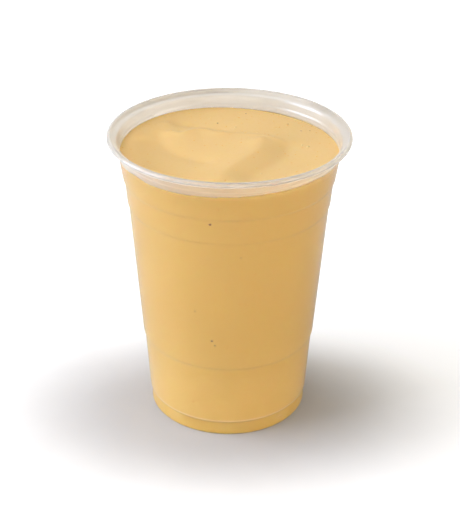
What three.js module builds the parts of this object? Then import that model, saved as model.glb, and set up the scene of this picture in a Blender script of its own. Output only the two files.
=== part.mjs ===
// A clear cold-drink cup, formed from one thin plastic sheet, filled with a thick mango smoothie.
// Millimetres, +Z up. The origin is on the cup's axis, on the surface that the cup stands on.
// The front of the cup faces -Y.

import * as THREE from "three";

// Driving sizes of the cup
const RIM_DIAMETER = 95;
const CUP_HEIGHT = 120;
const WALL = 0.6; // thickness of the sheet
const CURL_RADIUS = 1.1; // outside of the rolled rim's section
const CURL_SWEEP = THREE.MathUtils.degToRad(245); // how far the rim's edge is rolled round
const LEAD_IN_ANGLE = THREE.MathUtils.degToRad(45); // slope between the topmost band and the curl
const LEAD_IN_ROUND = 2;
const STEP_ROUND = 2.5; // rounding under each band
const BASE_RISE = 2.6; // height of the recessed underside
const BASE_RADIUS = 25.8;
const FOOT_RING_INNER = 27.2;
const FOOT_ROUND = 1.4;
const FOOT_EDGE_ROUND = 1; // rounding of the edge that shows round the foot

// The wall is a stack of tapered bands, and each one starts a little wider than the one below ends.
const BANDS = [
  { name: "foot", low: 0, lowRadius: 32.5, high: 5.0, highRadius: 31.2 },
  { name: "lower body", low: 6.3, lowRadius: 32.55, high: 32.8, highRadius: 34.5 },
  { name: "body", low: 33.5, lowRadius: 35.1, high: 91.2, highRadius: 39.6 },
  { name: "grip", low: 91.9, lowRadius: 40.1, high: 101.7, highRadius: 41.0 },
  { name: "collar", low: 102.4, lowRadius: 41.6, high: 114.0, highRadius: 43.35 },
  { name: "lip", low: 114.8, lowRadius: 43.65, high: 117.7, highRadius: 44.1 },
];

// Stacking lugs: wedge-shaped dents round the foot, deepest under the lower body, that keep nested
// cups apart
const LUG_COUNT = 4;
const LUG_OFFSET = Math.PI / LUG_COUNT; // the first lug's angle from the front
const LUG_HALF_WIDTH = THREE.MathUtils.degToRad(8);
const LUG_FADE = THREE.MathUtils.degToRad(2.5);
const LUG_DEPTH = 0.7;
const LUG_LOW = 1.2; // where the dent starts
const LUG_FULL = 4.2; // where it reaches its depth
const LUG_TOP = 5.6; // just above the groove under the lower body

// Driving sizes of the drink
const DRINK_LEVEL = 112.6; // mean height where it meets the wall
const DRINK_GAP = 0.3; // clearance to the sheet
const EDGE_WAVE = 0.7; // rise and fall of the waterline round the wall
const EDGE_WAVES = 2; // of those round the cup
const SURFACE_RINGS = 12;
const FOLD_REACH = 0.72; // share of the radius where the folds start to level out

// Folds that the last of the pour left on the surface. The points are in plan, and the crest runs
// through them, or the bottom of a hollow. left and right are the widths of the slopes beside it,
// seen along the run, and round is how broad its back is.
const FOLDS = [
  {
    points: [[-29, 13], [-23, 13], [-18.8, 11.9], [-12.3, 17.1], [-4.3, 14.4], [5, 13.6], [18, 9.8], [24, 4]],
    crest: 1.0,
    left: 3.5,
    right: 8,
    round: 0.3,
  },
  {
    points: [[13, 14], [12.8, 8.6], [10.7, -2], [4.8, -11.5], [-0.2, -19.9], [-3.9, -28.1]],
    crest: 1.8,
    left: 6,
    right: 9,
    round: 3,
  },
  {
    points: [[23, 8], [21, -6], [14.5, -17], [9, -25]],
    crest: -1.4,
    left: 9,
    right: 5,
    round: 3,
  },
  {
    points: [[-30, 15], [-28.6, 9.5], [-24.2, -0.2], [-19.5, -5.7], [-10.4, -11.7], [-4, -14]],
    crest: -0.8,
    left: 4,
    right: 4.5,
    round: 2,
  },
];
const FOLD_SAMPLES = 60;

const SEGMENTS = 56; // sides of every turned surface
const CURL_STEPS = 9;
const ROUND_STEPS = 2;

const { sin, cos, tan, abs, hypot, exp } = Math;
const { smoothstep } = THREE.MathUtils;

// The points of a section whose corners are rounded, each by its own radius.
function roundedPath(corners) {
  const path = [];
  corners.forEach(({ at, round }, i) => {
    if (!round) {
      path.push(at.clone());
      return;
    }
    const before = at.clone().sub(corners[i - 1].at).normalize();
    const after = corners[i + 1].at.clone().sub(at).normalize();
    const turn = before.angleTo(after);
    const side = Math.sign(before.cross(after));
    const start = at.clone().addScaledVector(before, -round * tan(turn / 2));
    const centre = new THREE.Vector2(-before.y, before.x).multiplyScalar(side * round).add(start);
    for (let step = 0; step <= ROUND_STEPS; step++) {
      path.push(start.clone().rotateAround(centre, (side * turn * step) / ROUND_STEPS));
    }
  });
  return path;
}

// The path moved sideways, to the left of its run. Towards the cup's inside, on the cup's section.
function offsetPath(path, distance) {
  return path.map((point, i) => {
    const next = path[i + 1] ?? point;
    const last = path[i - 1] ?? point;
    const ahead = next.clone().sub(point).normalize();
    const behind = point.clone().sub(last).normalize();
    const along = ahead.clone().add(behind).normalize();
    const reach = distance / (ahead.dot(along) || behind.dot(along));
    return new THREE.Vector2(point.x - along.y * reach, point.y + along.x * reach);
  });
}

// The outer skin of the formed sheet: from the middle of the underside, round the foot, up the
// bands and over the rolled rim.
function sheetPath() {
  const corner = (radius, height, round = 0) => ({ at: new THREE.Vector2(radius, height), round });
  const corners = [
    corner(0, BASE_RISE),
    corner(BASE_RADIUS, BASE_RISE, FOOT_ROUND),
    corner(FOOT_RING_INNER, 0, FOOT_ROUND),
  ];
  BANDS.forEach((band, i) => {
    corners.push(corner(band.lowRadius, band.low, i === 0 ? FOOT_EDGE_ROUND : STEP_ROUND));
    const isTop = i === BANDS.length - 1;
    corners.push(corner(band.highRadius, band.high, isTop ? LEAD_IN_ROUND : 0));
  });
  const centre = new THREE.Vector2(RIM_DIAMETER / 2 - CURL_RADIUS, CUP_HEIGHT - CURL_RADIUS);
  for (let step = 0; step <= CURL_STEPS; step++) {
    const heading = LEAD_IN_ANGLE - (CURL_SWEEP * step) / CURL_STEPS;
    const inside = CURL_RADIUS - WALL;
    corners.push(corner(centre.x - inside * sin(heading), centre.y + inside * cos(heading)));
  }
  return roundedPath(corners);
}

// How far the foot is dented inwards at an angle from the front and a height.
function lugDent(angle, height) {
  const pitch = (2 * Math.PI) / LUG_COUNT;
  const fromLug = abs(THREE.MathUtils.euclideanModulo(angle - LUG_OFFSET + pitch / 2, pitch) - pitch / 2);
  const across = 1 - smoothstep(fromLug, LUG_HALF_WIDTH - LUG_FADE, LUG_HALF_WIDTH + LUG_FADE);
  const upwards = height < LUG_TOP ? smoothstep(height, LUG_LOW, LUG_FULL) : 0;
  return LUG_DEPTH * across * upwards;
}

// The height that one fold adds at a place on the surface.
function foldHeight({ points, crest, left, right, round }, place) {
  const curve = new THREE.SplineCurve(points.map(([x, y]) => new THREE.Vector2(x, y)));
  const run = curve.getPoints(FOLD_SAMPLES);
  const distances = run.map((sample) => sample.distanceTo(place));
  const nearest = distances.indexOf(Math.min(...distances));
  const along = curve.getTangent(nearest / FOLD_SAMPLES);
  const isLeft = along.cross(place.clone().sub(run[nearest])) > 0;
  const slope = hypot(distances[nearest], round) - round;
  return crest * exp(-slope / (isLeft ? left : right));
}

// The height of the drink's surface above its mean level.
function surfaceHeight(x, y, wallRadius) {
  const place = new THREE.Vector2(x, y);
  const outwards = hypot(x, y) / wallRadius;
  const folds = FOLDS.reduce((sum, fold) => sum + foldHeight(fold, place), 0);
  const wave = EDGE_WAVE * sin(EDGE_WAVES * Math.atan2(x, -y));
  return folds * (1 - smoothstep(outwards, FOLD_REACH, 1)) + wave * outwards ** 2;
}

// A section turned round the Z axis. shape(point, index) may then move each vertex.
function turned(section, shape) {
  const geometry = new THREE.LatheGeometry(section, SEGMENTS).rotateX(Math.PI / 2);
  const position = geometry.attributes.position;
  const point = new THREE.Vector3();
  for (let i = 0; i < position.count; i++) {
    point.fromBufferAttribute(position, i);
    shape(point, i % section.length);
    position.setXYZ(i, point.x, point.y, point.z);
  }
  geometry.computeVertexNormals();
  return geometry;
}

function pressLugs(point) {
  const radius = hypot(point.x, point.y);
  if (radius < FOOT_RING_INNER) return;
  const dented = radius - lugDent(Math.atan2(point.x, -point.y), point.z);
  point.x *= dented / radius;
  point.y *= dented / radius;
}

function cupGeometry(outerSkin) {
  const innerSkin = offsetPath(outerSkin, WALL);
  return turned([...outerSkin, ...innerSkin.reverse()], pressLugs);
}

function drinkGeometry(outerSkin) {
  const against = offsetPath(outerSkin, WALL + DRINK_GAP);
  const above = against.findIndex((point) => point.y > DRINK_LEVEL);
  const below = against[above - 1];
  const share = (DRINK_LEVEL - below.y) / (against[above].y - below.y);
  const waterline = below.clone().lerp(against[above], share);
  const section = [...against.slice(0, above), waterline];
  const surfaceStart = section.length - 1;
  for (let ring = SURFACE_RINGS - 1; ring >= 0; ring--) {
    section.push(new THREE.Vector2((waterline.x * ring) / SURFACE_RINGS, DRINK_LEVEL));
  }
  return turned(section, (point, index) => {
    if (index < surfaceStart) pressLugs(point);
    else point.z += surfaceHeight(point.x, point.y, waterline.x);
  });
}

function namedMesh(name, geometry, material) {
  const mesh = new THREE.Mesh(geometry, material);
  mesh.name = name;
  return mesh;
}

const clearPlastic = new THREE.MeshStandardMaterial({
  color: 0xefe6da,
  roughness: 0.18,
  metalness: 0,
  transparent: true,
  opacity: 0.35,
});
const mangoSmoothie = new THREE.MeshStandardMaterial({ color: 0xecc584, roughness: 0.45, metalness: 0 });

const outerSkin = sheetPath();
const filledCup = new THREE.Group();
filledCup.add(namedMesh("cup", cupGeometry(outerSkin), clearPlastic));
filledCup.add(namedMesh("smoothie", drinkGeometry(outerSkin), mangoSmoothie));

export default filledCup;
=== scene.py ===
# %% [markdown]
# # A mango smoothie in a clear cup
# The object is a takeaway drink: a thin, clear plastic cup with a rolled rim, filled almost to the
# top with a thick mango smoothie. The solid model holds its sizes. This lesson makes its looks: the
# plastic, the drink behind it, and the pulp, specks and bubbles in the drink. The first step opens
# the solid model as a fixed frame.

# %% Open the frame
import cmath
import math

import bpy
import numpy as np
from mathutils import Matrix, Vector
from mathutils.bvhtree import BVHTree


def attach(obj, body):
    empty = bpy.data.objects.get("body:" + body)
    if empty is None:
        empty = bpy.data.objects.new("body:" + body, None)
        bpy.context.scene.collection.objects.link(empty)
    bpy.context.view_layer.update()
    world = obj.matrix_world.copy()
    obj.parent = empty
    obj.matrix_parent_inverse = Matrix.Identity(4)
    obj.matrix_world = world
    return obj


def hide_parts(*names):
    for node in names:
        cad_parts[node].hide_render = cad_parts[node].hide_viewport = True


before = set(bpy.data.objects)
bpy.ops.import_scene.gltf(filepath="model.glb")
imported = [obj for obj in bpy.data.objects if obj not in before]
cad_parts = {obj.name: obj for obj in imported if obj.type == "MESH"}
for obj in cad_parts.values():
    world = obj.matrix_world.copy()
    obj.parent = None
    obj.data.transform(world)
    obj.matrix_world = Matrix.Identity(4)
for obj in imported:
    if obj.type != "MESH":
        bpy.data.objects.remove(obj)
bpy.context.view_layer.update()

MM = 0.001
scene = bpy.context.scene
scene.view_settings.view_transform = "Standard"

# %% [markdown]
# ## The camera
# A camera could be placed by eye, but the rim and the foot are circles, and the ellipses that they
# make in the photograph fix where the camera stood. It looks down by about 28 degrees from half a
# metre away. The focal length is in pixels of the photograph, and the longer side of the picture
# takes the whole sensor.

# %% Place the camera
PHOTO_HEIGHT = 512
FOCAL_PIXELS = 1318.3
SENSOR = 36.0
CAMERA_PLACE = Vector((0, -470.3, 320.1)) * MM
CAMERA_PITCH = math.radians(28.44)
CAMERA_YAW = math.radians(0.057)
CAMERA_ROLL = math.radians(0.40)

camera_data = bpy.data.cameras.new("camera")
camera_data.sensor_width = SENSOR
camera_data.lens = FOCAL_PIXELS * SENSOR / PHOTO_HEIGHT
camera = bpy.data.objects.new("camera", camera_data)
scene.collection.objects.link(camera)
level_view = math.radians(90)
camera.matrix_world = (
    Matrix.Translation(CAMERA_PLACE)
    @ Matrix.Rotation(level_view - CAMERA_PITCH, 4, "X")
    @ Matrix.Rotation(-CAMERA_YAW, 4, "Y")
    @ Matrix.Rotation(CAMERA_ROLL, 4, "Z")
)
scene.camera = camera
print("lens", round(camera_data.lens, 1), "mm, from", round(CAMERA_PLACE.length / MM), "mm away")

# %% [markdown]
# ## Building node trees in a script
# Materials and Geometry Nodes are both trees of nodes. In the editor they are wired by hand. In a
# script the wiring soon hides what the tree does, so small helpers keep each node to one line. One
# makes a node and fills its inputs, with a number or with another node's output. The others do the
# same for the kinds of node that come back often.

# %% Helpers for node trees
def add_node(tree, kind, inputs=None, **settings):
    """A new node, with its settings made and its inputs, by name or index, set or linked."""
    node = tree.nodes.new(kind)
    for name, value in settings.items():
        setattr(node, name, value)
    for key, value in (inputs or {}).items():
        if isinstance(value, bpy.types.NodeSocket):
            tree.links.new(value, node.inputs[key])
        else:
            node.inputs[key].default_value = value
    return node


def calculate(tree, operation, *values):
    """The output of a Math node on up to three values."""
    node = add_node(tree, "ShaderNodeMath", dict(enumerate(values)), operation=operation)
    return node.outputs[0]


def calculate_vector(tree, operation, inputs, output="Vector"):
    """An output of a Vector Math node."""
    return add_node(tree, "ShaderNodeVectorMath", inputs, operation=operation).outputs[output]


def ramp(tree, value, low, high, start=0.0, end=1.0):
    """The value's run from low to high, eased into a run from start to end."""
    inputs = {"Value": value, "From Min": low, "From Max": high, "To Min": start, "To Max": end}
    node = add_node(tree, "ShaderNodeMapRange", inputs, interpolation_type="SMOOTHSTEP")
    return node.outputs["Result"]


print("helpers for node trees ready")

# %% [markdown]
# ## Finishes
# No real surface has one flat colour. So each finish here starts from a noise, and mixes two colours
# by it. The noise reads Object coordinates, which stay with the piece. What is the same all over a
# surface, such as its gloss, is set on the shader itself.

# %% Helpers for finishes
def new_finish(name):
    """A material, its node tree, its Principled shader and the Object coordinates."""
    finish = bpy.data.materials.new(name)
    finish.use_nodes = True
    tree = finish.node_tree
    coordinates = add_node(tree, "ShaderNodeTexCoord").outputs["Object"]
    return finish, tree, tree.nodes["Principled BSDF"], coordinates


def noise(tree, coordinates, scale, detail=2.0):
    """A noise that wanders round one half."""
    inputs = {"Vector": coordinates, "Scale": scale, "Detail": detail}
    return add_node(tree, "ShaderNodeTexNoise", inputs).outputs["Fac"]


def mixed(tree, share, first, second):
    """A colour between two colours."""
    node = add_node(tree, "ShaderNodeMix", data_type="RGBA")
    for key, value in (("Factor_Float", share), ("A_Color", first), ("B_Color", second)):
        socket = next(s for s in node.inputs if s.identifier == key)
        if isinstance(value, bpy.types.NodeSocket):
            tree.links.new(value, socket)
        else:
            socket.default_value = value
    return next(s for s in node.outputs if s.identifier == "Result_Color")


def set_inputs(node, values):
    """Sets inputs of a node that are the same all over the surface."""
    for name, value in values.items():
        node.inputs[name].default_value = value


print("helpers for finishes ready")

# %% [markdown]
# ## The floor
# The cup stands on a plain pale surface that fades to white in an oval round it. A floor of one flat
# colour would look cut out. The fade is painted: painted shade darkens the floor round the cup, and
# further out a painted white glow lights it. Here a Mapping node squeezes the coordinates into the
# oval, and the distance from its centre, made a little uneven by a noise, drives two ramps: from the
# near, shaded colour to the far one, and the strength of the white glow further out. A Light Path
# node keeps the glow to rays from the camera, because it would otherwise light the clear plastic from
# behind.

# %% Lay the floor
FLOOR_SIZE = 6.0
# painted shade: the darker colour of the floor round the cup
FLOOR_NEAR_PAINTED_SHADE = (0.487, 0.466, 0.447, 1)
FLOOR_FAR = (0.74, 0.72, 0.70, 1)
FLOOR_MOTTLE, FLOOR_WANDER = 40.0, 0.004
FADE_CENTRE, FADE_SHAPE = (-0.002, -0.014, 0), (1.545, 1, 1)
FADE_START, FADE_END = 0.039, 0.29
GLOW_START, GLOW_END, GLOW = 0.024, 0.076, 0.55
GLOW_COLOUR = (1, 1, 0.99, 1)

pale_floor, tree, shader, coordinates = new_finish("pale_floor")
placed = {"Vector": coordinates, "Location": FADE_CENTRE, "Scale": FADE_SHAPE}
oval = add_node(tree, "ShaderNodeMapping", placed, vector_type="TEXTURE").outputs[0]
distance = calculate_vector(tree, "LENGTH", {0: oval}, "Value")
mottle = noise(tree, coordinates, FLOOR_MOTTLE)
wander = calculate(tree, "MULTIPLY_ADD", mottle, FLOOR_WANDER, distance)
# painted shade and light: the floor is darker round the cup and paler further out
fade = ramp(tree, wander, FADE_START, FADE_END)
tree.links.new(mixed(tree, fade, FLOOR_NEAR_PAINTED_SHADE, FLOOR_FAR), shader.inputs["Base Color"])
# painted light: a glow on the floor further out, which only the camera sees
glow = ramp(tree, wander, GLOW_START, GLOW_END, 0, GLOW)
seen = add_node(tree, "ShaderNodeLightPath").outputs["Is Camera Ray"]
tree.links.new(calculate(tree, "MULTIPLY", glow, seen), shader.inputs["Emission Strength"])
set_inputs(shader, {"Emission Color": GLOW_COLOUR, "Roughness": 0.7, "Specular IOR Level": 0.2})

half = FLOOR_SIZE / 2
corners = [(-half, -half, 0), (half, -half, 0), (half, half, 0), (-half, half, 0)]
floor_mesh = bpy.data.meshes.new("floor")
floor_mesh.from_pydata(corners, [], [(0, 1, 2, 3)])
floor_mesh.materials.append(pale_floor)
floor = bpy.data.objects.new("floor", floor_mesh)
scene.collection.objects.link(floor)
print("floor", FLOOR_SIZE, "m wide")

# %% [markdown]
# ## The light
# In the photograph the drink is brightest on the left and its shadow falls to the right, so the
# strongest lamp is a wide softbox on the left, a little cool. One above it lights the top. A warm one
# on the right and one at the front, both low, fill the shaded side without lifting the shadow on the
# floor, and a pale world fills the rest. Small lamps would give hard spots on the plastic.

# %% Set the lights
WORLD_COLOUR, WORLD_STRENGTH = (1.0, 1.0, 0.97, 1), 0.485
LIT_POINT = Vector((0, 0, 60)) * MM
LAMPS = {  # place, width and height in metres, watts, colour
    "side": ((-1.40, -0.10, 0.47), 1.20, 0.75, 26.0, (0.87, 1.0, 1.32)),
    "high": ((-0.63, -0.10, 1.42), 1.20, 1.00, 9.6, (1, 1, 1)),
    "right": ((1.35, -0.60, 0.32), 1.20, 0.60, 10.8, (1.06, 1.0, 0.90)),
    "front": ((0.00, -1.40, 0.15), 1.40, 0.28, 9.4, (1, 1, 1)),
}


def add_softbox(name, place, width, height, watts, colour):
    """A rectangular lamp that faces the cup."""
    lamp = bpy.data.lights.new(name, "AREA")
    lamp.shape = "RECTANGLE"
    lamp.size, lamp.size_y = width, height
    lamp.energy = watts
    lamp.color = colour
    softbox = bpy.data.objects.new(name, lamp)
    softbox.location = place
    softbox.rotation_mode = "QUATERNION"
    softbox.rotation_quaternion = (Vector(place) - LIT_POINT).to_track_quat("Z", "Y")
    scene.collection.objects.link(softbox)


for name, facts in LAMPS.items():
    add_softbox(name, *facts)
world = bpy.data.worlds.new("studio")
world.use_nodes = True
set_inputs(world.node_tree.nodes["Background"], {"Color": WORLD_COLOUR, "Strength": WORLD_STRENGTH})
scene.world = world
print(len(bpy.data.lights), "lamps")

# %% [markdown]
# ## Drawing a section
# A round piece is drawn as its section, a line in a plane. It could be a Bezier curve drawn by hand.
# Here it is worked out from corners, each with its round. A complex number holds a point of the
# section, its radius and its height, because turning and stepping sideways are then plain
# multiplications. A second helper moves a whole line sideways, as a sheet's thickness needs.

# %% Helpers for a section
ROUND_STEPS = 5


def unit(direction):
    """The direction with a length of one."""
    return direction / abs(direction)


def unit_all(directions):
    """The same for an array of directions."""
    return directions / np.abs(directions)


def rounded_path(corners):
    """The points of a path whose corners, given as (point, round), are arcs."""
    path = []
    for i, (at, rounding) in enumerate(corners):
        if not rounding:
            path.append(at)
            continue
        before = unit(at - corners[i - 1][0])
        after = unit(corners[i + 1][0] - at)
        turn = cmath.phase(after / before)
        start = at - before * rounding * math.tan(abs(turn) / 2)
        centre = start + before * 1j * math.copysign(rounding, turn)
        for step in range(ROUND_STEPS + 1):
            path.append(centre + (start - centre) * cmath.exp(1j * turn * step / ROUND_STEPS))
    return path


def moved_in(path, distance):
    """The path moved sideways, to the left of its run, which is the inside of the cup."""
    runs = unit_all(np.diff(path))
    before = np.concatenate([runs[:1], runs])
    after = np.concatenate([runs, runs[-1:]])
    along = unit_all(before + after)
    return path + 1j * along * distance / (along.conj() * after).real


print("helpers for sections ready")

# %% [markdown]
# ## The section of the cup
# The real cup is one plastic sheet, heated and drawn into a mould, so it has the same thickness
# nearly everywhere. Its section is a line: across the recessed underside, round the foot, up six
# tapered bands that each start a little wider than the one below ends, and over the rolled rim. Near
# the waterline the points are close together, because the finish changes there.

# %% Work out the section
WALL = 0.6 * MM
RIM_RADIUS = 47.5 * MM
CUP_HEIGHT = 120 * MM
CURL_RADIUS = 1.1 * MM
CURL_SWEEP = math.radians(245)
CURL_STEPS = 26
LEAD_IN_ANGLE = math.radians(45)
LEAD_IN_ROUND = 2 * MM
STEP_ROUND = 2.5 * MM
CORNER_ROUND = 0.5 * MM
FOOT_ROUND = 1.4 * MM
FOOT_EDGE_ROUND = 0.7 * MM
FOOT_RING_INNER = 27.2 * MM
BASE_RISE = 2.6 * MM
BASE_RADIUS = 25.8 * MM
BANDS = {  # low end and high end, each as radius and height, in mm
    "foot": ((32.4, 0), (31.2, 5.0)),
    "lower body": ((32.75, 6.3), (34.55, 32.8)),
    "body": ((35.1, 33.5), (39.6, 91.2)),
    "grip": ((40.1, 91.9), (41.0, 101.7)),
    "collar": ((41.6, 102.4), (43.35, 114.0)),
    "lip": ((43.65, 114.8), (44.1, 117.7)),
}
LONGEST_STEP = 2.5 * MM
WATERLINE_LOW, WATERLINE_HIGH, WATERLINE_STEP = 110 * MM, 115 * MM, 0.3 * MM


def subdivided(path):
    """The path with points added, so that no stretch is long and those near the waterline are short."""
    finer = [path[0]]
    for start, end in zip(path, path[1:]):
        whole = math.ceil(abs(end - start) / LONGEST_STEP)
        for k in range(whole):
            first, last = (start + (end - start) * step / whole for step in (k, k + 1))
            level = first.imag < WATERLINE_HIGH and last.imag > WATERLINE_LOW
            near = level and first.real > BASE_RADIUS
            count = math.ceil(abs(last - first) / WATERLINE_STEP) if near else 1
            finer += [first + (last - first) * (step + 1) / count for step in range(count)]
    return np.array(finer)


def outer_skin():
    """The outside of the sheet, from the middle of the underside to the edge of the rolled rim."""
    corners = [
        (complex(0, BASE_RISE), 0),
        (complex(BASE_RADIUS, BASE_RISE), FOOT_ROUND),
        (complex(FOOT_RING_INNER, 0), FOOT_ROUND),
    ]
    for name, (low, high) in BANDS.items():
        corners.append((complex(*low) * MM, FOOT_EDGE_ROUND if name == "foot" else STEP_ROUND))
        corners.append((complex(*high) * MM, LEAD_IN_ROUND if name == "lip" else CORNER_ROUND))
    centre = complex(RIM_RADIUS - CURL_RADIUS, CUP_HEIGHT - CURL_RADIUS)
    for step in range(CURL_STEPS + 1):
        heading = LEAD_IN_ANGLE - CURL_SWEEP * step / CURL_STEPS
        corners.append((centre + 1j * cmath.exp(1j * heading) * (CURL_RADIUS - WALL), 0))
    return subdivided(rounded_path(corners))


sheet_outside = outer_skin()
print(len(sheet_outside), "points, up to", round(sheet_outside.imag.max() / MM, 2), "mm high")

# %% [markdown]
# ## Geometry Nodes in a script
# A Geometry Nodes tree makes a mesh from its inputs by a rule. It hangs on an object as a modifier.
# The trees in this lesson all start and end alike: they get a geometry and a finish, and they end by
# making copies real, smoothing the faces and setting the finish. The last helper runs a tree once and
# keeps the result as a plain mesh, because a live modifier isn't kept by every export.

# %% Helpers for Geometry Nodes
def add_input(tree, name, kind, value=None):
    """A named input of a Geometry Nodes tree."""
    socket = tree.interface.new_socket(name, in_out="INPUT", socket_type=kind)
    if value is not None:
        socket.default_value = value


def new_tree(name):
    """A Geometry Nodes tree with a geometry and a finish to put in, and a geometry that comes out."""
    tree = bpy.data.node_groups.new(name, "GeometryNodeTree")
    add_input(tree, "Geometry", "NodeSocketGeometry")
    add_input(tree, "Finish", "NodeSocketMaterial")
    tree.interface.new_socket("Geometry", in_out="OUTPUT", socket_type="NodeSocketGeometry")
    return tree


def end_tree(tree, given, geometry):
    """Realizes what the tree made, smooths it, gives it its finish and hands it out."""
    realized = add_node(tree, "GeometryNodeRealizeInstances", {"Geometry": geometry})
    smooth = add_node(tree, "GeometryNodeSetShadeSmooth", {0: realized.outputs[0]})
    finish = {0: smooth.outputs[0], "Material": given["Finish"]}
    finished = add_node(tree, "GeometryNodeSetMaterial", finish)
    add_node(tree, "NodeGroupOutput", {0: finished.outputs[0]})


def made_by_tree(name, data, tree, values):
    """The plain mesh object that a tree makes from a curve or a mesh, with its named inputs set."""
    source = bpy.data.objects.new(name + "_source", data)
    scene.collection.objects.link(source)
    modifier = source.modifiers.new("tree", "NODES")
    modifier.node_group = tree
    for item in tree.interface.items_tree:
        if item.in_out == "INPUT" and item.name in values:
            modifier[item.identifier] = values[item.name]
    evaluated = source.evaluated_get(bpy.context.evaluated_depsgraph_get())
    mesh = bpy.data.meshes.new_from_object(evaluated)
    source.modifiers.remove(modifier)
    bpy.data.objects.remove(source)
    mesh.name = name
    piece = bpy.data.objects.new(name, mesh)
    scene.collection.objects.link(piece)
    return piece


print("helpers for Geometry Nodes ready")

# %% [markdown]
# ## The stacking lugs
# Four wedge-shaped dents in the foot keep nested cups apart. They could be cut with a Boolean, which
# would leave sharp edges. A formed sheet bends softly, so here each point of the wall is moved
# inwards instead, by a depth that two ramps give, one round the foot and one up it.

# %% Press the lugs
LUG_COUNT = 4
LUG_PITCH = 2 * math.pi / LUG_COUNT
LUG_HALF_WIDTH = math.radians(8)
LUG_FADE = math.radians(2.5)
LUG_DEPTH = 0.7 * MM
LUG_LOW, LUG_FULL, LUG_TOP = 1.2 * MM, 4.2 * MM, 5.6 * MM


def lug_offset(tree, depth):
    """The way that each point of the wall moves inwards where a lug is pressed."""
    place = add_node(tree, "GeometryNodeInputPosition").outputs[0]
    split = add_node(tree, "ShaderNodeSeparateXYZ", {0: place}).outputs
    angle = calculate(tree, "ARCTAN2", split["X"], split["Y"])
    from_first = calculate(tree, "SUBTRACT", angle, LUG_PITCH / 2)
    from_lug = calculate(tree, "WRAP", from_first, LUG_PITCH / 2, -LUG_PITCH / 2)
    aside = calculate(tree, "ABSOLUTE", from_lug)
    across = ramp(tree, aside, LUG_HALF_WIDTH - LUG_FADE, LUG_HALF_WIDTH + LUG_FADE, 1, 0)
    upwards = ramp(tree, split["Z"], LUG_LOW, LUG_FULL)
    outward = calculate_vector(tree, "MULTIPLY", {0: place, 1: (1, 1, 0)})
    radius = calculate_vector(tree, "LENGTH", {0: outward}, "Value")
    is_foot = calculate(tree, "LESS_THAN", split["Z"], LUG_TOP)
    is_wall = calculate(tree, "GREATER_THAN", radius, FOOT_RING_INNER)
    wedge = calculate(tree, "MULTIPLY", across, upwards)
    shape = calculate(tree, "MULTIPLY", wedge, calculate(tree, "MULTIPLY", is_foot, is_wall))
    dent = calculate(tree, "MULTIPLY", shape, calculate(tree, "MULTIPLY", depth, -1))
    direction = calculate_vector(tree, "NORMALIZE", {0: outward})
    return calculate_vector(tree, "SCALE", {0: direction, "Scale": dent})


print(LUG_COUNT, "lugs,", LUG_DEPTH / MM, "mm deep")

# %% [markdown]
# ## Turning a section
# A section becomes a round piece by turning it about the axis. Blender has a Screw modifier for that.
# Geometry Nodes can do it too: Curve to Mesh runs the section round a circle as its profile, and the
# same tree can press the lugs. The cup and the drink both use it, so the drink follows each dent. The
# circle that carries the profile has a radius of its own, which is taken off the section first.

# %% The turning tree
TURN_SIDES = 192
CARRIER_RADIUS = 0.1
MERGE_DISTANCE = 0.001 * MM


def turning_tree():
    """The tree that turns a section into a closed round piece with lugs in its foot."""
    tree = new_tree("turned section")
    add_input(tree, "Sides", "NodeSocketInt", TURN_SIDES)
    add_input(tree, "Lug depth", "NodeSocketFloat", LUG_DEPTH)
    given = add_node(tree, "NodeGroupInput").outputs
    circle = add_node(tree, "GeometryNodeCurvePrimitiveCircle",
                      {"Resolution": given["Sides"], "Radius": CARRIER_RADIUS})
    carrier = add_node(tree, "GeometryNodeSetCurveNormal", {0: circle.outputs["Curve"]}, mode="Z_UP")
    section = add_node(tree, "GeometryNodeTransform",
                       {0: given["Geometry"], "Translation": (-CARRIER_RADIUS, 0, 0)})
    turned = add_node(tree, "GeometryNodeCurveToMesh",
                      {"Curve": carrier.outputs[0], "Profile Curve": section.outputs[0]})
    closed = add_node(tree, "GeometryNodeMergeByDistance",
                      {0: turned.outputs[0], "Distance": MERGE_DISTANCE})
    facing = add_node(tree, "GeometryNodeFlipFaces", {0: closed.outputs[0]})
    offset = lug_offset(tree, given["Lug depth"])
    pressed = add_node(tree, "GeometryNodeSetPosition", {0: facing.outputs[0], "Offset": offset})
    end_tree(tree, given, pressed.outputs[0])
    return tree


def section_curve(name, section):
    """A poly curve through the points of a section. Curve to Mesh hangs its profile upside down."""
    section.real[section.real < MERGE_DISTANCE] = 0
    curve = bpy.data.curves.new(name, "CURVE")
    curve.dimensions = "3D"
    spline = curve.splines.new("POLY")
    spline.points.add(len(section) - 1)
    for point, at in zip(spline.points, section):
        point.co = (at.real, -at.imag, 0, 1)
    return curve


turn = turning_tree()
print("turning tree with", len(turn.nodes), "nodes")

# %% [markdown]
# ## The plastic
# The inner face of such a sheet has a fine grain. Where it is dry, above the drink, the grain makes
# the plastic milky. Where the drink wets it, the grain disappears and the plastic is clear. The rolled
# rim is dry too, but light goes through it several times, so it needs a paler tint. The cream of the
# milky and rim tints is partly the plastic's own and partly painted: painted warm light from the drink
# and painted shade of greyer surroundings seen through the wall. That makes three finishes from one
# recipe: most of the light goes through, a share is scattered by the base colour, and a sheen stands
# for the pale haze that shows where the wall is seen edge on. A plain glass shader would look like
# hard crystal.

# %% Mix the plastics
PLASTIC_IOR = 1.42
PLASTIC_MOTTLE, PLASTIC_DETAIL = 45.0, 1.0
MOTTLE_LOW, MOTTLE_HIGH = 0.3, 0.7
HAZE_TINT, HAZE_ROUGHNESS = (1.0, 0.94, 0.84, 1), 0.5
GLOSS_ROUGHNESS = 0.08
PLASTIC_SCATTER, PLASTIC_SCATTER_REACH = (1.0, 0.9, 0.8), 4 * MM
CLEAR_TINTS = (0.995, 0.985, 0.97, 1), (0.99, 0.975, 0.955, 1)
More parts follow.
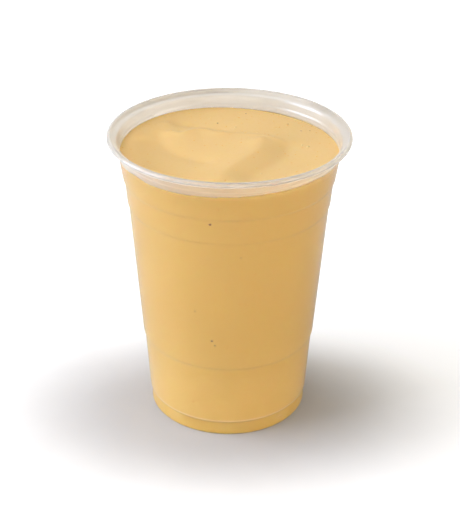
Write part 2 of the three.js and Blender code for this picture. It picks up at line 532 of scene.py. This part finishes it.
# the cream of the milky and rim tints is partly painted warm light from the drink and painted shade of
# greyer surroundings
MILKY_TINTS_WITH_PAINTED_LIGHT = (0.91, 0.81, 0.665, 1), (0.895, 0.79, 0.645, 1)
RIM_TINTS_WITH_PAINTED_LIGHT = (0.96, 0.885, 0.77, 1), (0.95, 0.87, 0.75, 1)


def plastic(name, tints, roughness, clearness, haze, gloss):
    """A softly mottled plastic, through which clearness is the share of the light that goes."""
    finish, tree, shader, coordinates = new_finish(name)
    mottle = noise(tree, coordinates, PLASTIC_MOTTLE, PLASTIC_DETAIL)
    amount = ramp(tree, mottle, MOTTLE_LOW, MOTTLE_HIGH)
    tree.links.new(mixed(tree, amount, *tints), shader.inputs["Base Color"])
    tree.links.new(ramp(tree, amount, 0, 1, *roughness), shader.inputs["Roughness"])
    set_inputs(shader, {
        "IOR": PLASTIC_IOR,
        "Transmission Weight": clearness,
        "Sheen Weight": haze,
        "Sheen Roughness": HAZE_ROUGHNESS,
        "Sheen Tint": HAZE_TINT,
        "Coat Weight": gloss,
        "Coat Roughness": GLOSS_ROUGHNESS,
        "Subsurface Weight": 1.0,
        "Subsurface Radius": PLASTIC_SCATTER,
        "Subsurface Scale": PLASTIC_SCATTER_REACH,
    })
    return finish


clear_plastic = plastic("clear_plastic", CLEAR_TINTS, (0.22, 0.25), clearness=0.98, haze=0.15, gloss=0.0)
misted_plastic = plastic("misted_plastic", MILKY_TINTS_WITH_PAINTED_LIGHT, (0.20, 0.24), clearness=0.86, haze=0.9, gloss=0.1)
rim_plastic = plastic("rim_plastic", RIM_TINTS_WITH_PAINTED_LIGHT, (0.15, 0.19), clearness=0.86, haze=0.9, gloss=0.1)
print("three plastics")

# %% [markdown]
# ## The cup
# The sheet has two skins. The inner one is the outer one moved in by the sheet's thickness, and the
# two together are one line that starts and ends on the axis, so the turned piece is closed.

# %% Turn the cup
sheet_inside = moved_in(sheet_outside, WALL)
cup_section = np.concatenate([sheet_outside, sheet_inside[::-1]])
cup_curve = section_curve("cup_section", cup_section)
cup = made_by_tree("cup_wall", cup_curve, turn, {"Finish": clear_plastic})
print("cup", len(cup.data.vertices), "vertices", len(cup.data.polygons), "faces")

# %% [markdown]
# ## The finish of the drink
# A smoothie is opaque, but light goes a few millimetres into it, which softens its shading, so the
# shader scatters light below the surface. Its colour isn't even. It is mottled and holds fine orange
# pulp. Some light and shade is painted into the colour as well. On top the orange is paler than
# behind the plastic, a painted sheen. The sides are painted paler towards the foot, painted light
# where less light reaches. The rounded shoulder above the foot has a painted highlight, a pale line,
# and the groove below it painted shade, a darker one. Those follow the height. Where the drink thins
# out against the wall it turns more yellow. The mesh carries that part, and which faces are on top,
# as attributes, because they follow the waterline.

# %% Mix the smoothie
# painted light: the paler colour low on the sides
MANGO_LOW_PAINTED_LIGHT = (0.872, 0.580, 0.144, 1)
MANGO_HIGH = (0.785, 0.503, 0.112, 1)
MANGO_FOOT = (0.775, 0.497, 0.085, 1)
# painted highlight and painted shade: the shoulder and groove lines
MANGO_SHOULDER_PAINTED_HIGHLIGHT = (0.95, 0.70, 0.32, 1)
MANGO_GROOVE_PAINTED_SHADE = (0.62, 0.33, 0.035, 1)
MANGO_DEEP = (0.77, 0.485, 0.092, 1)
# painted sheen: the paler colour of the top
MANGO_TOP_PAINTED_SHEEN = (0.802, 0.528, 0.210, 1)
MANGO_PULP = (0.78, 0.37, 0.06, 1)
MANGO_THIN = (0.85, 0.57, 0.15, 1)
PAINTED_LIGHT_REACH = 50 * MM
FOOT_TOP, FOOT_TOP_FADE = 5.7 * MM, 1 * MM
SHOULDER, GROOVE = 6.9 * MM, 5.7 * MM
PAINTED_LINE_REACH, PAINTED_LINE_STRENGTH = 0.7 * MM, 0.9
DRINK_MOTTLE, DRINK_DETAIL, DEEP_SHARE = 160.0, 4.0, 0.3
FLECK_SCALE, FLECK_CORE, FLECK_EDGE, FLECK_SHARE = 420.0, 0.10, 0.24, 0.5
FLECK_RARE, FLECK_SURE = 0.70, 0.95
GRAIN_SCALE, GRAIN_DETAIL = 900.0, 3.0
GRAIN_DEPTH, GRAIN_STRENGTH = 0.05 * MM, 0.25
DRINK_SMOOTHEST, DRINK_ROUGHEST = 0.42, 0.55
DRINK_IOR = 1.36
DRINK_SCATTER, DRINK_SCATTER_REACH, DRINK_SCATTER_SHARE = (1.0, 0.55, 0.2), 1.0 * MM, 0.35

mango_smoothie, tree, shader, coordinates = new_finish("mango_smoothie")
height = add_node(tree, "ShaderNodeSeparateXYZ", {0: coordinates}).outputs["Z"]
# painted light: the sides are paler towards the foot
sides = mixed(tree, ramp(tree, height, 0, PAINTED_LIGHT_REACH), MANGO_LOW_PAINTED_LIGHT, MANGO_HIGH)
in_foot = ramp(tree, height, FOOT_TOP - FOOT_TOP_FADE, FOOT_TOP + FOOT_TOP_FADE, 1, 0)
sides = mixed(tree, in_foot, sides, MANGO_FOOT)
# painted highlight on the shoulder, painted shade in the groove, as lines by height
for level, colour in ((SHOULDER, MANGO_SHOULDER_PAINTED_HIGHLIGHT), (GROOVE, MANGO_GROOVE_PAINTED_SHADE)):
    off = calculate(tree, "ABSOLUTE", calculate(tree, "SUBTRACT", height, level))
    sides = mixed(tree, ramp(tree, off, 0, PAINTED_LINE_REACH, PAINTED_LINE_STRENGTH, 0), sides, colour)
mottle = noise(tree, coordinates, DRINK_MOTTLE, DRINK_DETAIL)
sides = mixed(tree, ramp(tree, mottle, 0.35, 0.75, 0, DEEP_SHARE), sides, MANGO_DEEP)
# painted sheen: the top gets a paler orange than the sides
on_surface = add_node(tree, "ShaderNodeAttribute", attribute_name="open").outputs["Fac"]
body = mixed(tree, on_surface, sides, MANGO_TOP_PAINTED_SHEEN)

cells = add_node(tree, "ShaderNodeTexVoronoi", {"Vector": coordinates, "Scale": FLECK_SCALE}).outputs
in_fleck = ramp(tree, cells["Distance"], FLECK_CORE, FLECK_EDGE, 1, 0)
chance = add_node(tree, "ShaderNodeSeparateColor", {0: cells["Color"]}).outputs[0]
fleck = calculate(tree, "MULTIPLY", in_fleck, ramp(tree, chance, FLECK_RARE, FLECK_SURE))
pulpy = mixed(tree, calculate(tree, "MULTIPLY", fleck, FLECK_SHARE), body, MANGO_PULP)
near_edge = add_node(tree, "ShaderNodeAttribute", attribute_name="edge").outputs["Fac"]
tree.links.new(mixed(tree, near_edge, pulpy, MANGO_THIN), shader.inputs["Base Color"])

grain = noise(tree, coordinates, GRAIN_SCALE, GRAIN_DETAIL)
roughness = ramp(tree, grain, MOTTLE_LOW, MOTTLE_HIGH, DRINK_SMOOTHEST, DRINK_ROUGHEST)
tree.links.new(roughness, shader.inputs["Roughness"])
relief = {"Height": grain, "Strength": GRAIN_STRENGTH, "Distance": GRAIN_DEPTH}
tree.links.new(add_node(tree, "ShaderNodeBump", relief).outputs[0], shader.inputs["Normal"])
set_inputs(shader, {
    "IOR": DRINK_IOR,
    "Subsurface Weight": DRINK_SCATTER_SHARE,
    "Subsurface Radius": DRINK_SCATTER,
    "Subsurface Scale": DRINK_SCATTER_REACH,
})
print("smoothie finish with", len(tree.nodes), "nodes")

# %% [markdown]
# ## The folds on the drink
# On top the last of the pour left soft folds, and the drink clings a little higher to the wall in
# places. The folds could be sculpted. Here each one is a crest line in plan, a short list of places
# read from the photograph, and the surface rises to it from both sides, more steeply on one. A hollow
# is a fold with a negative height. All of them level out towards the wall, as a later cell works out.

# %% List the folds
FOLDS = {  # places in plan, then height, widths of the slopes left and right of the run, roundness, in mm
    "long crease": (
        ((-29, 13), (-23, 13), (-18.8, 11.9), (-12.3, 17.1), (-4.3, 14.4), (3, 13.8)),
        (1.15, 4.0, 8.0, 0.4),
    ),
    "lip on the crease": (
        ((-24, 13.2), (-18.8, 12.4), (-12.3, 17.6), (-4.3, 14.9)),
        (0.25, 0.8, 1.4, 0.2),
    ),
    "end of the crease": (
        ((-6, 15), (5, 13.6), (11.6, 12.7), (18, 9.8), (24, 4)),
        (0.5, 2.0, 6.0, 0.5),
    ),
    "ridge to the front": (
        ((13, 12), (12.8, 8.6), (10.7, -2), (4.8, -11.5), (-0.2, -19.9), (-3.9, -28.1), (-6, -36)),
        (1.45, 6.0, 9.0, 2.4),
    ),
    "hollow right of the ridge": (
        ((24, 10), (22.5, 2), (20.5, -7), (14.5, -17), (9, -25), (5, -33)),
        (-1.05, 9.0, 5.0, 3.0),
    ),
    "hollow at the left": (
        ((-30, 15), (-28.6, 9.5), (-24.2, -0.2), (-19.5, -5.7), (-10.4, -11.7), (-4, -14)),
        (-0.85, 4.0, 4.5, 2.0),
    ),
    "mound at the left": (
        ((-36, 6), (-33, 14), (-30, 20), (-22, 28)),
        (1.7, 6.0, 9.0, 3.0),
    ),
    "hollow behind the crease": (
        ((-26, 24), (-16, 23), (-6, 20.5), (2, 18)),
        (-0.8, 4.0, 3.0, 2.0),
    ),
}
print(len(FOLDS), "folds")

# %% [markdown]
# ### From crest lines to heights
# A smooth curve runs through a fold's places. The height at a place of the plan falls off with the
# distance from that curve. Taking the nearest point alone would leave a seam where the nearest point
# jumps, so all points count, the near ones most. At the wall the waterline rises and falls a little,
# and clings higher at one angle.

# %% Work out the surface
EDGE_WAVE, EDGE_WAVES, EDGE_WAVE_RISE = 0.7 * MM, 2, 4
CLING_ANGLE, CLING_WIDTH = math.radians(-54), math.radians(7)
CLING_HEIGHT, CLING_RISE = 0.9 * MM, 24
FOLD_REACH = 0.72
FOLD_SAMPLES = 40
FOLD_ENDS = 0.2
FOLD_BLEND = 0.8


def eased(value, low, high):
    """The value's run from low to high, eased into a run from 0 to 1."""
    share = np.clip((value - low) / (high - low), 0, 1)
    return share**2 * (3 - 2 * share)


def smooth_run(places):
    """Points along a smooth curve through places, as complex numbers, and the direction at each."""
    knots = np.array([complex(*place) for place in places])
    knots = np.concatenate([2 * knots[:1] - knots[1:2], knots, 2 * knots[-1:] - knots[-2:-1]])
    share = np.linspace(0, 1, FOLD_SAMPLES, endpoint=False)
    run = []
    for a, b, c, d in zip(knots, knots[1:], knots[2:], knots[3:]):
        bend = (2 * a - 5 * b + 4 * c - d) * share**2 + (3 * b - a - 3 * c + d) * share**3
        run.append(b + (c - a) * share / 2 + bend / 2)
    run = np.concatenate([*run, knots[-2:-1]])
    return run, unit_all(np.gradient(run))


def fold_height(fold, plan):
    """The height that a fold adds at each place of plan, in metres. Near parts of the run count most."""
    places, (crest, left, right, roundness) = fold
    run, along = smooth_run(places)
    away = plan[:, None] / MM - run
    distance = np.abs(away)
    nearest = distance.min(1, keepdims=True)
    weight = np.exp((nearest - distance) / FOLD_BLEND)
    weight /= weight.sum(1, keepdims=True)
    width = (weight * np.where((along.conj() * away).imag > 0, left, right)).sum(1)
    share = np.linspace(0, 1, len(run))
    height = (weight * eased(np.minimum(share, 1 - share), 0, FOLD_ENDS)).sum(1)
    return crest * MM * height * np.exp((roundness - np.hypot(nearest[:, 0], roundness)) / width)


def surface_height(plan, wall_radius):
    """The height of the drink's surface over its mean level, at places of the plan."""
    outwards = np.abs(plan) / wall_radius
    folds = sum(fold_height(fold, plan) for fold in FOLDS.values())
    angle = np.arctan2(plan.real, -plan.imag)
    cling = CLING_HEIGHT * np.exp(-(((angle - CLING_ANGLE) / CLING_WIDTH) ** 2))
    wave = EDGE_WAVE * np.sin(EDGE_WAVES * angle) * outwards**EDGE_WAVE_RISE + cling * outwards**CLING_RISE
    return folds * (1 - eased(outwards, FOLD_REACH, 1)) + wave


middle_height = float(surface_height(np.zeros(1), 1.0)[0])
print("the surface's middle is", round(middle_height / MM, 2), "mm above its level")

# %% [markdown]
# ## The drink
# The drink fills the cup, so behind clear plastic it must touch the wall: a gap would show as a grey
# mirror. Its skin therefore runs inside the sheet, close to the outer face. The same tree turns it as
# turned the cup, with a flat top at first. The folds then lift the points on top, and each point gets
# two numbers for the finish: whether it is on top, and how near it is to the waterline.

# %% Make the drink
DRINK_LEVEL = 112.6 * MM
DRINK_INSET = WALL / 4
SURFACE_RINGS = 100
EDGE_REACH, EDGE_ON_TOP = 2.2 * MM, 0.45


def drink_section():
    """The drink's skin up to its level, and then its surface, in to the axis."""
    skin = moved_in(sheet_outside, DRINK_INSET)
    top = int(np.argmax(skin.imag > DRINK_LEVEL))
    share = (DRINK_LEVEL - skin[top - 1].imag) / (skin[top].imag - skin[top - 1].imag)
    waterline = skin[top - 1] + share * (skin[top] - skin[top - 1])
    rings = np.linspace(1, 0, SURFACE_RINGS + 1)
    surface = waterline.real * rings + 1j * DRINK_LEVEL
    return np.concatenate([skin[:top], surface])


section = drink_section()
waterline_radius = section[len(section) - SURFACE_RINGS - 1].real
drink_curve = section_curve("drink_section", section)
drink = made_by_tree("smoothie_drink", drink_curve, turn, {"Finish": mango_smoothie})

points = np.zeros(len(drink.data.vertices) * 3)
drink.data.vertices.foreach_get("co", points)
points = points.reshape(-1, 3)
plan = points[:, 0] + 1j * points[:, 1]
is_surface = points[:, 2] > DRINK_LEVEL - MERGE_DISTANCE
to_edge = np.where(is_surface, waterline_radius - np.abs(plan), DRINK_LEVEL - points[:, 2])
thinness = (1 - eased(to_edge, 0, EDGE_REACH)) * np.where(is_surface, EDGE_ON_TOP, 1)
for name, values in (("edge", thinness), ("open", is_surface.astype(float))):
    drink.data.attributes.new(name, "FLOAT", "POINT").data.foreach_set("value", values)
rise = surface_height(plan, waterline_radius)
points[is_surface, 2] += rise[is_surface]
drink.data.vertices.foreach_set("co", points.ravel())
drink.data.update()
print("drink", len(drink.data.vertices), "vertices, surface from", points[is_surface, 2].min() / MM)

# %% [markdown]
# ## Where the plastic is dry
# The mist ends where the drink starts. So the faces of the cup that lie above the waterline at their
# angle get the misted finish, and those of the rolled rim get its own.

# %% Mist the dry plastic
cup.data.materials.append(misted_plastic)
cup.data.materials.append(rim_plastic)
centres = np.array([face.center for face in cup.data.polygons])
around = unit_all(centres[:, 0] + 1j * centres[:, 1] + MERGE_DISTANCE)
is_dry = centres[:, 2] > DRINK_LEVEL + surface_height(waterline_radius * around, waterline_radius)
is_rim = centres[:, 2] > CUP_HEIGHT - 2 * CURL_RADIUS
cup.data.polygons.foreach_set("material_index", is_dry.astype(int) + is_rim)
print("dry faces", int(is_dry.sum()), "of them in the rim", int(is_rim.sum()))

# %% [markdown]
# ## Pulp in the drink
# A blended mango leaves fine orange shreds everywhere in the drink, a few tenths of a millimetre wide.
# Only those at its skin can be seen. Placing them by hand would take hours and a particle system isn't
# kept when the model is exported, so Geometry Nodes strews points over the drink, puts a small
# flattened ball on each, turns and sizes each one at random, and makes it all real mesh.

# %% The strewing tree
LENGTH_SHORTEST, LENGTH_LONGEST, LENGTH_SEED = 0.8, 1.9, 3
SPIN_SEED = 5
BALL_ROUNDNESS = 2


def random_number(tree, low, high, seed):
    """A number between low and high, another one at each point."""
    inputs = {2: low, 3: high, "Seed": seed}
    return add_node(tree, "FunctionNodeRandomValue", inputs, data_type="FLOAT").outputs[1]


def strewing_tree():
    """The tree that strews flattened balls over a mesh."""
    tree = new_tree("strewn flecks")
    for name in ("Per square metre", "Smallest", "Largest", "Flatness"):
        add_input(tree, name, "NodeSocketFloat")
    add_input(tree, "Seed", "NodeSocketInt")
    given = add_node(tree, "NodeGroupInput").outputs
    strewn = {"Mesh": given["Geometry"], "Density": given["Per square metre"], "Seed": given["Seed"]}
    points = add_node(tree, "GeometryNodeDistributePointsOnFaces", strewn).outputs
    ball = add_node(tree, "GeometryNodeMeshIcoSphere", {"Radius": 1.0, "Subdivisions": BALL_ROUNDNESS})
    size = random_number(tree, given["Smallest"], given["Largest"], given["Seed"])
    length = random_number(tree, LENGTH_SHORTEST, LENGTH_LONGEST, LENGTH_SEED)
    shape = add_node(tree, "ShaderNodeCombineXYZ", {"X": length, "Y": 1.0, "Z": given["Flatness"]})
    scale = calculate_vector(tree, "SCALE", {0: shape.outputs[0], "Scale": size})
    angle = random_number(tree, 0.0, 2 * math.pi, SPIN_SEED)
    spin = add_node(tree, "ShaderNodeCombineXYZ", {"Z": angle}).outputs[0]
    rotation = add_node(tree, "FunctionNodeRotateRotation",
                        {"Rotation": points["Rotation"], "Rotate By": spin}, rotation_space="LOCAL")
    flecks = add_node(tree, "GeometryNodeInstanceOnPoints",
                      {"Points": points["Points"], "Instance": ball.outputs["Mesh"],
                       "Rotation": rotation.outputs[0], "Scale": scale})
    end_tree(tree, given, flecks.outputs[0])
    return tree


strew = strewing_tree()
print("strewing tree with", len(strew.nodes), "nodes")

# %% [markdown]
# ### The shreds
# The shreds are a deeper orange than the drink, some paler than others. The noise that mixes the two
# oranges is finer than the drink's mottle, so neighbours differ. The tree runs once on the drink's
# own mesh.

# %% Strew the pulp
PULP_COLOURS = (0.72, 0.33, 0.035, 1), (0.80, 0.46, 0.09, 1)
PULP_MOTTLE = 300.0
PULP_FACTS = {
    "Per square metre": 24000.0,
    "Smallest": 0.08 * MM,
    "Largest": 0.30 * MM,
    "Flatness": 0.35,
    "Seed": 7,
}

orange_pulp, tree, shader, coordinates = new_finish("orange_pulp")
shade = ramp(tree, noise(tree, coordinates, PULP_MOTTLE), 0.35, 0.65)
tree.links.new(mixed(tree, shade, *PULP_COLOURS), shader.inputs["Base Color"])
set_inputs(shader, {"Roughness": 0.5, "IOR": DRINK_IOR})
pulp = made_by_tree("smoothie_pulp", drink.data, strew, {"Finish": orange_pulp, **PULP_FACTS})
print("pulp", len(pulp.data.polygons), "faces")

# %% [markdown]
# ## Placing specks and bubbles
# Here and there is a dark bit of the fruit's skin, and a few bubbles stand on the surface. There are
# so few that they are placed one by one, from lists. A place on the side is an angle from the front
# and a height. A place on top is a distance to the right of the axis and one behind it. A second,
# smaller tree puts a ball on each point, turned to the drink's skin there, and stretches and flattens
# it as asked.

# %% The placing tree
PLACED_ROUNDNESS = 3


def placing_tree():
    """The tree that puts a ball on each point, of the point's own size and direction."""
    tree = new_tree("placed balls")
    add_input(tree, "Stretch", "NodeSocketFloat")
    add_input(tree, "Flatness", "NodeSocketFloat")
    given = add_node(tree, "NodeGroupInput").outputs
    ball = add_node(tree, "GeometryNodeMeshIcoSphere", {"Radius": 1.0, "Subdivisions": PLACED_ROUNDNESS})
    named = "GeometryNodeInputNamedAttribute"
    facing = add_node(tree, named, {"Name": "facing"}, data_type="FLOAT_VECTOR").outputs[0]
    size = add_node(tree, named, {"Name": "size"}, data_type="FLOAT").outputs[0]
    upright = add_node(tree, "FunctionNodeAlignRotationToVector", {"Vector": facing}, axis="Z")
    stretched = {"X": given["Stretch"], "Y": 1.0, "Z": given["Flatness"]}
    shape = add_node(tree, "ShaderNodeCombineXYZ", stretched).outputs[0]
    scale = calculate_vector(tree, "SCALE", {0: shape, "Scale": size})
    balls = add_node(tree, "GeometryNodeInstanceOnPoints",
                     {"Points": given["Geometry"], "Instance": ball.outputs["Mesh"],
                      "Rotation": upright.outputs[0], "Scale": scale})
    end_tree(tree, given, balls.outputs[0])
    return tree


place_balls = placing_tree()
print("placing tree with", len(place_balls.nodes), "nodes")

# %% [markdown]
# ### Finding a place on the drink
# A list gives a place by two numbers, but a ball needs a point of the mesh and the way that the mesh
# faces there. A ray from the axis outwards, or from above downwards, finds both. The points become a
# mesh without faces, whose attributes the placing tree reads.

# %% Helpers for places
drink_skin = BVHTree.FromObject(drink, bpy.context.evaluated_depsgraph_get())


def on_side(angle, height):
    """The point and the normal of the drink's skin at an angle from the front, in degrees."""
    outwards = Vector((math.sin(math.radians(angle)), -math.cos(math.radians(angle)), 0))
    return drink_skin.ray_cast(Vector((0, 0, height * MM)), outwards)[:2]


def on_top(right, behind):
    """The point and the normal of the drink's surface at a place of its plan."""
    above = Vector((right * MM, behind * MM, 2 * CUP_HEIGHT))
    return drink_skin.ray_cast(above, Vector((0, 0, -1)))[:2]


def placed_balls(name, finish, places, stretch, flatness):
    """One piece with a ball of the given radius, in mm, at each place: ((point, normal), radius)."""
    mesh = bpy.data.meshes.new(name + "_places")
    mesh.from_pydata([point for (point, _), _ in places], [], [])
    facing = mesh.attributes.new("facing", "FLOAT_VECTOR", "POINT")
    facing.data.foreach_set("vector", [value for (_, normal), _ in places for value in normal])
    size = mesh.attributes.new("size", "FLOAT", "POINT")
    size.data.foreach_set("value", [radius * MM for _, radius in places])
    values = {"Finish": finish, "Stretch": stretch, "Flatness": flatness}
    return made_by_tree(name, mesh, place_balls, values)


print("the front of the drink at half height is at", tuple(on_side(0, DRINK_LEVEL / MM / 2)[0] / MM))

# %% [markdown]
# ### The dark specks
# The specks are thin brown flakes in the drink's skin, so their balls are flattened. Those at the
# front and on top are where the photograph shows them. A few more are spread round the back, which
# the photograph doesn't show, because the fruit's skin is everywhere in the drink.

# %% Place the dark specks
SPECKS_ON_SIDE = [  # angle in degrees, height and radius in mm
    (-9.8, 100.1, 0.42), (6.8, 85.6, 0.26), (-20.3, 59.9, 0.28), (-10.1, 46.9, 0.36), (-8.2, 44.8, 0.26),
]
SPECKS_BEHIND = [
    (128.0, 88.0, 0.34), (-152.0, 61.0, 0.38), (171.0, 34.0, 0.28), (95.0, 52.0, 0.30), (-98.0, 79.0, 0.26),
]
SPECKS_ON_TOP = [  # right of the axis, behind it, and radius, in mm
    (-4.9, 26.2, 0.28), (28.7, 19.1, 0.32), (32.3, 19.7, 0.24),
    (23.7, 26.2, 0.26), (6.7, 36.6, 0.24), (33.4, 25.1, 0.24),
]
SPECK_COLOURS = (0.14, 0.055, 0.03, 1), (0.36, 0.13, 0.05, 1)
SPECK_MOTTLE = 70.0
SPECK_STRETCH, SPECK_FLATNESS = 1.3, 0.4

dark_speck, tree, shader, coordinates = new_finish("dark_speck")
shade = ramp(tree, noise(tree, coordinates, SPECK_MOTTLE), 0.4, 0.6)
tree.links.new(mixed(tree, shade, *SPECK_COLOURS), shader.inputs["Base Color"])
set_inputs(shader, {"Roughness": 0.6})
side_places = SPECKS_ON_SIDE + SPECKS_BEHIND
speck_places = [(on_side(angle, height), radius) for angle, height, radius in side_places]
speck_places += [(on_top(right, behind), radius) for right, behind, radius in SPECKS_ON_TOP]
specks = placed_balls("smoothie_specks", dark_speck, speck_places, SPECK_STRETCH, SPECK_FLATNESS)
print("specks", len(speck_places))

# %% [markdown]
# ### The bubbles
# A bubble on a thick drink is a low dome with a thin film of drink over it, paler and glossier than
# what is round it. A clear film would show nothing at this size, so the dome has the drink's pale
# colours and a smooth gloss.

# %% Place the bubbles
BUBBLES = [  # right of the axis, behind it, and radius, in mm
    (2.4, 21.7, 0.38), (28.6, 5.1, 0.45), (30.7, 3.6, 0.60), (11.9, -20.9, 0.30),
    (11.0, 16.2, 0.28), (18.9, 21.7, 0.26), (-21.0, -4.0, 0.24), (-8.5, 30.5, 0.22),
]
BUBBLE_COLOURS = (0.74, 0.52, 0.23, 1), (0.80, 0.60, 0.31, 1)
BUBBLE_MOTTLE = 400.0
BUBBLE_STRETCH, BUBBLE_FLATNESS = 1.0, 0.6

bubble_film, tree, shader, coordinates = new_finish("bubble_film")
shade = noise(tree, coordinates, BUBBLE_MOTTLE)
tree.links.new(mixed(tree, shade, *BUBBLE_COLOURS), shader.inputs["Base Color"])
set_inputs(shader, {"Roughness": 0.12, "IOR": DRINK_IOR})
bubble_places = [(on_top(right, behind), radius) for right, behind, radius in BUBBLES]
bubbles = placed_balls("smoothie_bubbles", bubble_film, bubble_places, BUBBLE_STRETCH, BUBBLE_FLATNESS)
print("bubbles", len(bubble_places))

# %% [markdown]
# ## Handing the pieces over
# Every piece rides on the one body of the part. The cup and the drink stand for the two solids, so
# the solids themselves are hidden.

# %% Fasten the pieces and finish
for piece in (cup, drink, pulp, specks, bubbles):
    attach(piece, "root")
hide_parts("cup")
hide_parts("smoothie")
